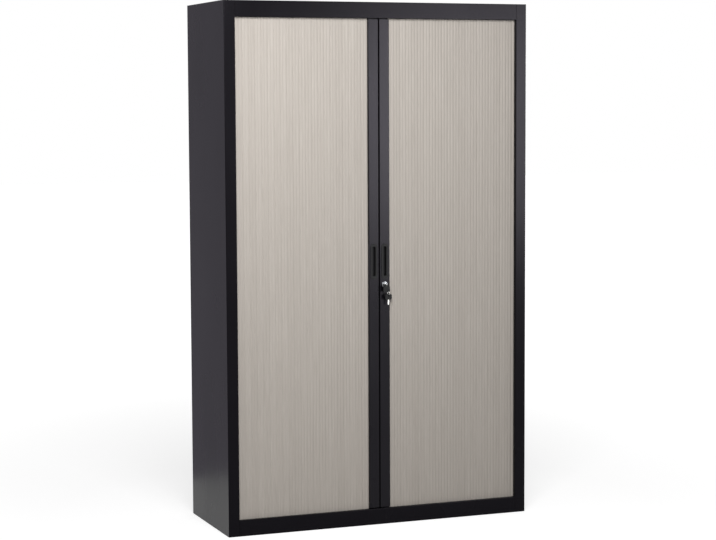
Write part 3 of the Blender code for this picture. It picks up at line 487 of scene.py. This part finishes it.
def sideShell(word, side):
    node = word + "_side_panel"
    bends = [(side * stileEdge, front + body["stileDepth"], 0), (side * stileEdge, front, 0),
             (side * halfWidth, front, 0), (side * halfWidth, back, 0),
             (side * (halfWidth - body["rearFlange"]), back, 0)]
    dress(foldSheet(word + "_side_shell", bends, (0, 0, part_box(node)[1].z)), node)


# Cutters that leave room for the stiles of the side shells
def stileNotches(name, low, high):
    for word, side in sides.items():
        inner, outer = side * (stileEdge - body["seam"]), side * (halfWidth + overrun)
        yield addBlock(name + word, (min(inner, outer), front - overrun, low),
                       (max(inner, outer), front + body["stileDepth"] + fit, high))


def topCover():
    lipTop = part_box("ceiling_panel")[0].z + body["sheet"] - fit
    headerLow = height - body["header"]
    bends = [(-halfWidth, back, height), (-halfWidth, front, height), (-halfWidth, front, headerLow),
             (-halfWidth, lipBack, headerLow), (-halfWidth, lipBack, lipTop)]
    cover = foldSheet("top_cover", bends, (2 * halfWidth, 0, 0))
    combine(cover, *stileNotches("top_notch_", headerLow - overrun, height - body["sheet"] - fit))
    dress(cover, "top_panel")


# Small flanges turned back from the plinth's ends, which close the seam beside each stile
def plinthReturns(base):
    sheet = body["sheet"]
    for side in sides.values():
        outer = side * (stileEdge - body["seam"])
        across = sorted((outer, outer - side * sheet))
        flange = addBlock("plinth_return", (across[0], front + sheet / 2, fit),
                          (across[1], lipBack - sheet / 2, body["plinth"] - sheet / 2))
        combine(base, flange, operation="UNION")


def baseTray():
    low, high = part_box("base_panel")
    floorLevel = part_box("left_bottom_track")[0].z - fit
    bends = [(low.x, front, 0), (low.x, front, body["plinth"]), (low.x, lipBack, body["plinth"]),
             (low.x, lipBack, floorLevel), (low.x, high.y, floorLevel), (low.x, high.y, 0)]
    base = foldSheet("base_tray", bends, (high.x - low.x, 0, 0))
    combine(base, *stileNotches("base_notch_", -overrun, body["plinth"] + overrun))
    plinthReturns(base)
    for node in [n for n in frame["nodes"] if n.startswith("foot_stud")]:
        studLow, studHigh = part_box(node)
        middle = (studLow + studHigh) / 2
        radius = (studHigh.x - studLow.x) / 2 + fit
        combine(base, addRound("stud_hole", radius, (middle.x, middle.y, floorLevel - overrun),
                               (middle.x, middle.y, floorLevel + overrun), body["holeSides"]))
    dress(base, "base_panel")


for word, side in sides.items():
    sideShell(word, side)
topCover()
baseTray()
print("folded body is in place")


# Shelves

shelf = {"count": 4, "lip": 0.012}


def shelfBoard(node, name):
    low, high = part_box(node)
    lip = shelf["lip"]
    bends = [(low.x, low.y + lip, low.z), (low.x, low.y, low.z), (low.x, low.y, high.z),
             (low.x, high.y, high.z), (low.x, high.y, low.z), (low.x, high.y - lip, low.z)]
    dress(foldSheet(name, bends, (high.x - low.x, 0, 0)), node)


for number in range(1, shelf["count"] + 1):
    shelfBoard("shelf_%d" % number, "shelf_board_%d" % number)
print("shelves are in place")


# Tambour curtains

curtainLow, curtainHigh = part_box("right_curtain")
curtain = {
    "pitch": 0.0242, "slats": 24, "straightSlats": 21, "flutes": 2, "fluteDepth": 0.0011,
    "jointDepth": 0.0013, "jointGap": 0.0001, "webDepth": 0.0040, "seam": 0.00002, "steps": 10,
    "crown": 2.0, "backChamfer": 0.0012, "thickness": 0.009, "turnRadius": 0.0301}
curtainStart = curtainLow.x
trackLine = curtainLow.y + curtain["thickness"] / 2


# A point on the curtain's route: straight across the front, then round behind the stile
def routePlace(along, outward, side):
    radius = curtain["turnRadius"]
    quarter = radius * math.pi / 2
    if along <= stileEdge:
        return side * along, trackLine - outward
    if along <= stileEdge + quarter:
        angle = (along - stileEdge) / radius
        return (side * (stileEdge + (radius + outward) * math.sin(angle)),
                trackLine + radius - (radius + outward) * math.cos(angle))
    return side * (stileEdge + radius + outward), trackLine + radius + along - stileEdge - quarter


# One slat in section, as (distance along the route, distance outward)
def slatOutline(start):
    half = curtain["thickness"] / 2
    pitch, flutes, steps = curtain["pitch"], curtain["flutes"], curtain["steps"]
    gap, seam = curtain["jointGap"] / 2, curtain["seam"] / 2
    end = start + pitch
    face = []
    for flute in range(flutes):
        for step in range(steps + (flute == flutes - 1)):
            share = step / steps
            outer = (flute == 0 and share < 0.5) or (flute == flutes - 1 and share >= 0.5)
            groove = curtain["jointDepth"] if outer else curtain["fluteDepth"]
            along = start + (flute + share) * pitch / flutes
            along = min(max(along, start + gap), end - gap)
            face.append((along, half - groove * abs(2 * share - 1) ** curtain["crown"]))
    web = half - curtain["webDepth"]
    chamfer = curtain["backChamfer"]
    rear = [(end - chamfer, -half)] + [(start + pitch * share, -half) for share in (0.75, 0.5, 0.25)]
    rear.append((start + chamfer, -half))
    return (face + [(end - gap, web), (end - seam, web), (end - seam, -half + chamfer)] + rear
            + [(start + seam, -half + chamfer), (start + seam, web), (start + gap, web)])


def makeSlat(name, start, side):
    points = [routePlace(along, outward, side) for along, outward in slatOutline(start)]
    return uprightOutline(name, points, curtainLow.z, curtainHigh.z)


# A UV map in metres: across along the curtain's route, and up
def mapRoute(piece):
    layer = piece.data.uv_layers.new(name="UVMap") if not piece.data.uv_layers else piece.data.uv_layers[0]
    radius = curtain["turnRadius"]
    for loop in piece.data.loops:
        place = piece.data.vertices[loop.vertex_index].co
        reach, depth = abs(place.x), place.y
        along = reach
        if reach > stileEdge:
            angle = math.atan2(reach - stileEdge, trackLine + radius - depth)
            along = stileEdge + radius * min(max(angle, 0), math.pi / 2) + max(0, depth - trackLine - radius)
        layer.data[loop.index].uv = (along, place.z)


def tambour(word, side):
    node = word + "_curtain"
    straight = makeSlat(word + "_slats", curtainStart, side)
    applyStep(straight, "ARRAY", count=curtain["straightSlats"], use_relative_offset=False,
              use_constant_offset=True, constant_offset_displace=(side * curtain["pitch"], 0, 0))
    mapRoute(straight)
    dress(straight, node, angle=40, flats=False)
    turning = [makeSlat(word + "_turn_slats", curtainStart + number * curtain["pitch"], side)
               for number in range(curtain["straightSlats"], curtain["slats"])]
    selectOnly(turning[0])
    for other in turning[1:]:
        other.select_set(True)
    bpy.ops.object.join()
    mapRoute(turning[0])
    dress(turning[0], node, rides="cabinet", angle=40, flats=False)
    # The slats in front ride with the door and the turning slats stay with the cabinet; here the door's
    # travel is looked up and the front slats get a mesh of their own
    joint = next(j for j in frame["joints"] if j["name"] == word + "_door_slide")
    travel = max(joint["range_m"])
    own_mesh(straight)


for word, side in sides.items():
    tambour(word, side)
print("tambour curtains are in place")


# Leading slats

lead = {"wall": 0.0015, "corner": 0.002, "cornerSteps": 6, "edge": 0.0002, "lockHole": 0.009,
        "hookPlay": 0.001, "hookDrop": 0.030, "hookRise": 0.005}
leadLow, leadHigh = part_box("right_lead_slat")
leadMiddle = (leadLow.x + leadHigh.x) / 2
plugLow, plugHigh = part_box("lock_plug")
lockLevel = (plugLow.z + plugHigh.z) / 2
housingLow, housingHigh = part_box("lock_housing")
handle = {"flange": 0.0015, "overlap": 0.002, "corner": 0.0115, "cornerSteps": 12, "slotWidth": 0.0125,
          "slotLength": 0.110, "rim": 0.0016, "dish": 0.0004, "floor": 0.0015, "edge": 0.00045}


# A block with its four edges from front to back rounded
def roundedBlock(name, low, high, radius):
    block = addBlock(name, low, high)
    startEditing(block)
    pickEdges(block, lambda middle, run: abs(run.y) > aligned)
    bpy.ops.mesh.bevel(offset=radius, segments=handle["cornerSteps"], affect="EDGES")
    stopEditing()
    return block


def leadProfile(word, side):
    node = word + "_lead_slat"
    low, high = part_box(node)
    cutFront, cutBack = low.y - overrun, low.y + lead["wall"] + overrun / 2
    slat = addBlock(word + "_lead_profile", low, high)
    startEditing(slat)
    pickFaces(slat, lambda middle, normal: abs(normal.z) > aligned)
    bpy.ops.mesh.delete(type="FACE")
    pickEdges(slat, lambda middle, run: abs(run.z) > aligned)
    bpy.ops.mesh.bevel(offset=lead["corner"], segments=lead["cornerSteps"], affect="EDGES")
    stopEditing()
    applyStep(slat, "SOLIDIFY", thickness=lead["wall"], offset=-1, use_even_offset=True)
    cupLow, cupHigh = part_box(word + "_handle")
    inset = handle["overlap"] - fit
    combine(slat, roundedBlock("pocket", (cupLow.x + inset, cutFront, cupLow.z + inset),
                               (cupHigh.x - inset, cutBack, cupHigh.z - inset), handle["corner"] - inset))
    hookLow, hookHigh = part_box("lock_hook")
    play = lead["hookPlay"]
    meeting = min(low.x, high.x, key=abs)
    across = sorted((meeting - side * play, meeting + side * (lead["wall"] + play)))
    combine(slat, addBlock("hook_slot", (across[0], hookLow.y - play, lockLevel - lead["hookDrop"]),
                           (across[1], hookHigh.y + play, lockLevel + lead["hookRise"])))
    if side > 0:
        combine(slat, addRound("lock_hole", lead["lockHole"] + fit, (leadMiddle, cutFront, lockLevel),
                               (leadMiddle, cutBack, lockLevel)))
    softenEdges(slat, lead["edge"], 2, 50)
    dress(slat, node)


def fingerPull(word):
    node = word + "_handle"
    low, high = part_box(node)
    flangeBack = low.y + handle["flange"]
    pull = roundedBlock(word + "_finger_pull", low, (high.x, flangeBack, high.z), handle["corner"])
    middle = (low + high) / 2
    startEditing(pull)
    pickFaces(pull, lambda place, normal: normal.y < -aligned)
    bpy.ops.mesh.inset(thickness=handle["rim"])
    bpy.ops.mesh.inset(thickness=handle["dish"])
    bpy.ops.transform.translate(value=(0, handle["dish"], 0))
    left = (high.x - low.x) / 2 - handle["rim"] - handle["dish"] - handle["slotWidth"] / 2
    bpy.ops.mesh.inset(thickness=left)
    length = high.z - low.z - 2 * (handle["rim"] + handle["dish"] + left)
    bpy.ops.transform.resize(value=(1, 1, handle["slotLength"] / length), center_override=middle)
    depth = high.y - low.y - handle["floor"] - handle["dish"]
    bpy.ops.mesh.extrude_region_move(TRANSFORM_OT_translate={"value": (0, depth, 0)})
    pickFaces(pull, lambda place, normal: normal.y > aligned and abs(place.y - flangeBack) < near)
    bpy.ops.mesh.inset(thickness=handle["overlap"])
    depth = high.y - low.y - handle["flange"]
    bpy.ops.mesh.extrude_region_move(TRANSFORM_OT_translate={"value": (0, depth, 0)})
    stopEditing()
    softenEdges(pull, handle["edge"], 3, 35)
    dress(pull, node)


for word, side in sides.items():
    leadProfile(word, side)
    fingerPull(word)
print("leading slats and finger pulls are in place")


# Lock and keys

lock = {"bezel": 0.011, "barrel": 0.009, "bore": 0.0055, "ring": 0.0026, "step": 0.0007,
        "edge": 0.0003, "dome": 0.0013, "domeSteps": 6, "sides": 96}


def lockBezel():
    bezelFace = housingLow.y
    leadFace = leadLow.y
    bezel = addRound("lock_bezel", lock["bezel"], (leadMiddle, bezelFace, lockLevel),
                     (leadMiddle, leadFace - fit, lockLevel), lock["sides"])
    startEditing(bezel)
    pickFaces(bezel, lambda place, normal: normal.y < -aligned)
    bpy.ops.mesh.inset(thickness=lock["ring"])
    bpy.ops.mesh.inset(thickness=lock["step"] / 2)
    bpy.ops.transform.translate(value=(0, lock["step"], 0))
    pickFaces(bezel, lambda place, normal: normal.y > aligned and abs(place.y - leadFace + fit) < near)
    bpy.ops.mesh.inset(thickness=lock["bezel"] - lock["barrel"])
    depth = housingHigh.y - leadFace + fit
    bpy.ops.mesh.extrude_region_move(TRANSFORM_OT_translate={"value": (0, depth, 0)})
    outer = lock["bezel"] - lock["step"]
    pickEdges(bezel, lambda middle, way: abs(middle.y - bezelFace) < near
              and math.hypot(middle.x - leadMiddle, middle.z - lockLevel) > outer)
    bpy.ops.mesh.bevel(offset=lock["dome"], segments=lock["domeSteps"], affect="EDGES")
    stopEditing()
    combine(bezel, addRound("bore", lock["bore"], (leadMiddle, bezelFace - overrun, lockLevel),
                            (leadMiddle, housingHigh.y + overrun, lockLevel)))
    softenEdges(bezel, lock["edge"], 3, 40)
    dress(bezel, "lock_housing")


# Node, name of its piece, rounding of its edges and steps of the rounding
roundedNodes = (
    ("lock_plug", "lock_barrel", 0.0003, 2), ("lock_hook", "lock_bolt_hook", 0.0003, 2),
    ("key_blade", "lock_key_blade", 0.0002, 2), ("key_head", "folding_key_head", 0.0007, 3),
    ("strike_plate", "strike_keeper", 0.0002, 2))
secondKey = {"gripLength": 0.020, "gripRound": 0.0007, "bladeRound": 0.0002}


# The second key has a moulded grip like the first, and a plated blade below it
def hangingKey():
    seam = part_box("spare_key")[1].z - secondKey["gripLength"]
    grip = softCopy("spare_key", "second_key_grip", secondKey["gripRound"], 3, cut=seam)
    blade = softCopy("spare_key", "second_key_blade", secondKey["bladeRound"], 2, cut=seam, keepAbove=False)
    dress(grip, "spare_key", slotName="black_plastic")
    dress(blade, "spare_key")


lockBezel()
hangingKey()
for node, name, width, segments in roundedNodes:
    dress(softCopy(node, name, width, segments), node)


ringWire = {"sides": 12, "turns": 2, "steps": 128}


# Two close turns of wire, with their ends lying side by side
def splitRing():
    low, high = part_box("key_ring")
    middle = (low + high) / 2
    turns, steps = ringWire["turns"], ringWire["steps"]
    wire = (high.x - low.x) / (2 * turns)
    radius = (high.z - low.z) / 2 - wire
    bpy.ops.object.select_all(action="DESELECT")
    bpy.ops.mesh.primitive_circle_add(vertices=ringWire["sides"], radius=wire,
                                      location=(radius, 0, -wire * turns), rotation=(math.pi / 2, 0, 0))
    ring = freshPiece("split_ring")
    applyStep(ring, "SCREW", angle=2 * math.pi * turns, screw_offset=2 * turns * wire, steps=steps,
              render_steps=steps, use_normal_calculate=True)
    startEditing(ring)
    bpy.ops.mesh.select_mode(type="EDGE")
    bpy.ops.mesh.select_non_manifold()
    bpy.ops.mesh.fill_holes(sides=0)
    bpy.ops.mesh.select_all(action="SELECT")
    bpy.ops.mesh.normals_make_consistent(inside=False)
    bpy.ops.transform.rotate(value=math.pi / 2, orient_axis="Y", center_override=(0, 0, 0))
    bpy.ops.transform.translate(value=middle)
    stopEditing()
    dress(ring, "key_ring", angle=60, flats=False)


splitRing()
print("lock and keys are in place")


# Inner panels, tracks, glides, clips and feet keep their shape and lose their sharp edges

edgeRounds = {
    "foot_pad": 0.0010, "foot_stud": 0.0004, "glide": 0.0010, "track": 0.0004, "shelf_clip": 0.0003,
    "floor_panel": 0.0006, "ceiling_panel": 0.0003, "back_panel": 0.0002, "liner": 0.0003}

for node in sorted(frame["nodes"]):
    width = next((size for word, size in edgeRounds.items() if word in node), None)
    if width is not None:
        dress(softCopy(node, "finished_" + node, width), node)
print("inner panels, tracks, glides, clips and feet are in place")


# Floor, world, lamps and camera

studio = {
    "world": 0.15, "floorSize": 60, "floorTone": 0.50, "glow": (0.76, 1.0), "glowReach": (1.2, 4.5),
    "key": {"place": (-0.86, -2.48, 2.34), "aim": (-0.47, -0.2, 1.48), "size": (1.2, 1.2), "power": 71},
    "sheen": {"place": (2.62, -3.9, 1.55), "aim": (2.62, -0.2, 1.55), "size": (2.5, 1.4), "power": 168},
    "rear": {"place": (5.0, 3.8, 1.1), "aim": (0.4, 0.2, 1.0), "size": (3.0, 1.6), "power": 130},
    "card": {"place": (-2.5, 0.9, 1.6), "size": (4.0, 4.4), "tone": (0.48, 0.45, 0.52)}}


# 1 for a ray that looks at something, straight, in gloss or through glass, and 0 for one that lights it
def lookingRay(tree):
    seen = addNode(tree, "LightPath")
    straightOrGloss = addNode(tree, "Math", operation="MAXIMUM")
    looking = addNode(tree, "Math", operation="MAXIMUM")
    tree.links.new(seen.outputs["Is Camera Ray"], straightOrGloss.inputs[0])
    tree.links.new(seen.outputs["Is Glossy Ray"], straightOrGloss.inputs[1])
    tree.links.new(straightOrGloss.outputs[0], looking.inputs[0])
    tree.links.new(seen.outputs["Is Transmission Ray"], looking.inputs[1])
    return looking.outputs[0]


def paleFloor():
    bpy.ops.object.select_all(action="DESELECT")
    bpy.ops.mesh.primitive_plane_add(size=studio["floorSize"], location=(0, 0, 0))
    floor = freshPiece("studio_floor")
    material, tree, shader = startMaterial("studio_floor", {
        "Base Color": (studio["floorTone"],) * 3 + (1,), "Roughness": 0.9, "Specular IOR Level": 0.1})
    # The floor pales to white away from the cabinet, and keeps the shadow under it
    spot = addNode(tree, "TexCoord")
    reach = addNode(tree, "VectorMath", operation="LENGTH")
    glow = addNode(tree, "Emission", {"Color": (1, 1, 1, 1)})
    both = addNode(tree, "AddShader")
    choose = addNode(tree, "MixShader")
    tree.links.new(spot.outputs["Object"], reach.inputs[0])
    strength = between(tree, reach.outputs["Value"], *studio["glow"], span=studio["glowReach"])
    tree.links.new(strength, glow.inputs["Strength"])
    tree.links.new(shader.outputs[0], both.inputs[0])
    tree.links.new(glow.outputs[0], both.inputs[1])
    tree.links.new(lookingRay(tree), choose.inputs["Fac"])
    tree.links.new(shader.outputs[0], choose.inputs[1])
    tree.links.new(both.outputs[0], choose.inputs[2])
    tree.links.new(choose.outputs[0], tree.nodes["Material Output"].inputs["Surface"])
    floor.data.materials.append(material)


# A grey card to the left of the cabinet, which only gloss reflects
def greyCard():
    look = studio["card"]
    bpy.ops.object.select_all(action="DESELECT")
    bpy.ops.mesh.primitive_plane_add(size=1, location=look["place"], rotation=(math.pi / 2, 0, 0))
    bpy.ops.transform.resize(value=(look["size"][0], 1, look["size"][1]))
    card = freshPiece("grey_card")
    card.data.materials.append(startMaterial("grey_card", {
        "Base Color": (0, 0, 0, 1), "Specular IOR Level": 0.0, "Roughness": 1.0,
        "Emission Color": (*look["tone"], 1), "Emission Strength": 1.0})[0])
    for kind in ("camera", "diffuse", "shadow", "transmission", "volume_scatter"):
        setattr(card, "visible_" + kind, False)


def softWorld():
    world = bpy.data.worlds.new("studio")
    bpy.context.scene.world = world
    world.use_nodes = True
    tree = world.node_tree
    light = tree.nodes["Background"]
    light.inputs["Color"].default_value = (1, 1, 1, 1)
    light.inputs["Strength"].default_value = studio["world"]
    white = addNode(tree, "Background", {"Color": (1, 1, 1, 1), "Strength": 1.0})
    choose = addNode(tree, "MixShader")
    tree.links.new(lookingRay(tree), choose.inputs["Fac"])
    tree.links.new(light.outputs[0], choose.inputs[1])
    tree.links.new(white.outputs[0], choose.inputs[2])
    tree.links.new(choose.outputs[0], tree.nodes["World Output"].inputs["Surface"])


# A lamp that doesn't light paint only shines back from gloss, and leaves colours as they are
def softLamp(name, look, lightsPaint=True):
    lamp = bpy.data.lights.new(name, "AREA")
    lamp.shape = "RECTANGLE"
    lamp.size, lamp.size_y = look["size"]
    lamp.energy = look["power"]
    holder = bpy.data.objects.new(name, lamp)
    bpy.context.scene.collection.objects.link(holder)
    holder.visible_camera = False
    holder.visible_diffuse = lightsPaint
    holder.location = look["place"]
    ahead = Vector(look["aim"]) - Vector(look["place"])
    holder.rotation_euler = ahead.to_track_quat("-Z", "Y").to_euler()


# Where the photograph was taken from, worked out from the corners of the cabinet
def photoCamera():
    look = {"place": (-2.70145, -6.89750, 1.58933), "yaw": 0.37295, "pitch": -0.08707, "roll": -0.00436,
            "lens": 97.61, "sensor": 36.0, "farthest": 100}
    yaw, pitch, roll = look["yaw"], look["pitch"], look["roll"]
    right = Vector((math.cos(yaw), -math.sin(yaw), 0))
    ahead = Vector((math.sin(yaw) * math.cos(pitch), math.cos(yaw) * math.cos(pitch), math.sin(pitch)))
    up = right.cross(ahead)
    across = right * math.cos(roll) + up * math.sin(roll)
    upward = up * math.cos(roll) - right * math.sin(roll)
    camera = bpy.data.cameras.new("photo_camera")
    camera.lens = look["lens"]
    camera.sensor_width = look["sensor"]
    camera.clip_end = look["farthest"]
    holder = bpy.data.objects.new("photo_camera", camera)
    bpy.context.scene.collection.objects.link(holder)
    turn = Matrix((across, upward, -ahead)).transposed().to_4x4()
    holder.matrix_world = Matrix.Translation(look["place"]) @ turn
    bpy.context.scene.camera = holder


paleFloor()
greyCard()
softWorld()
softLamp("key_lamp", studio["key"])
softLamp("sheen_lamp", studio["sheen"], lightsPaint=False)
softLamp("rear_lamp", studio["rear"], lightsPaint=False)
photoCamera()
bpy.context.scene.view_settings.view_transform = "Standard"
print("floor, lamps and camera are in place")
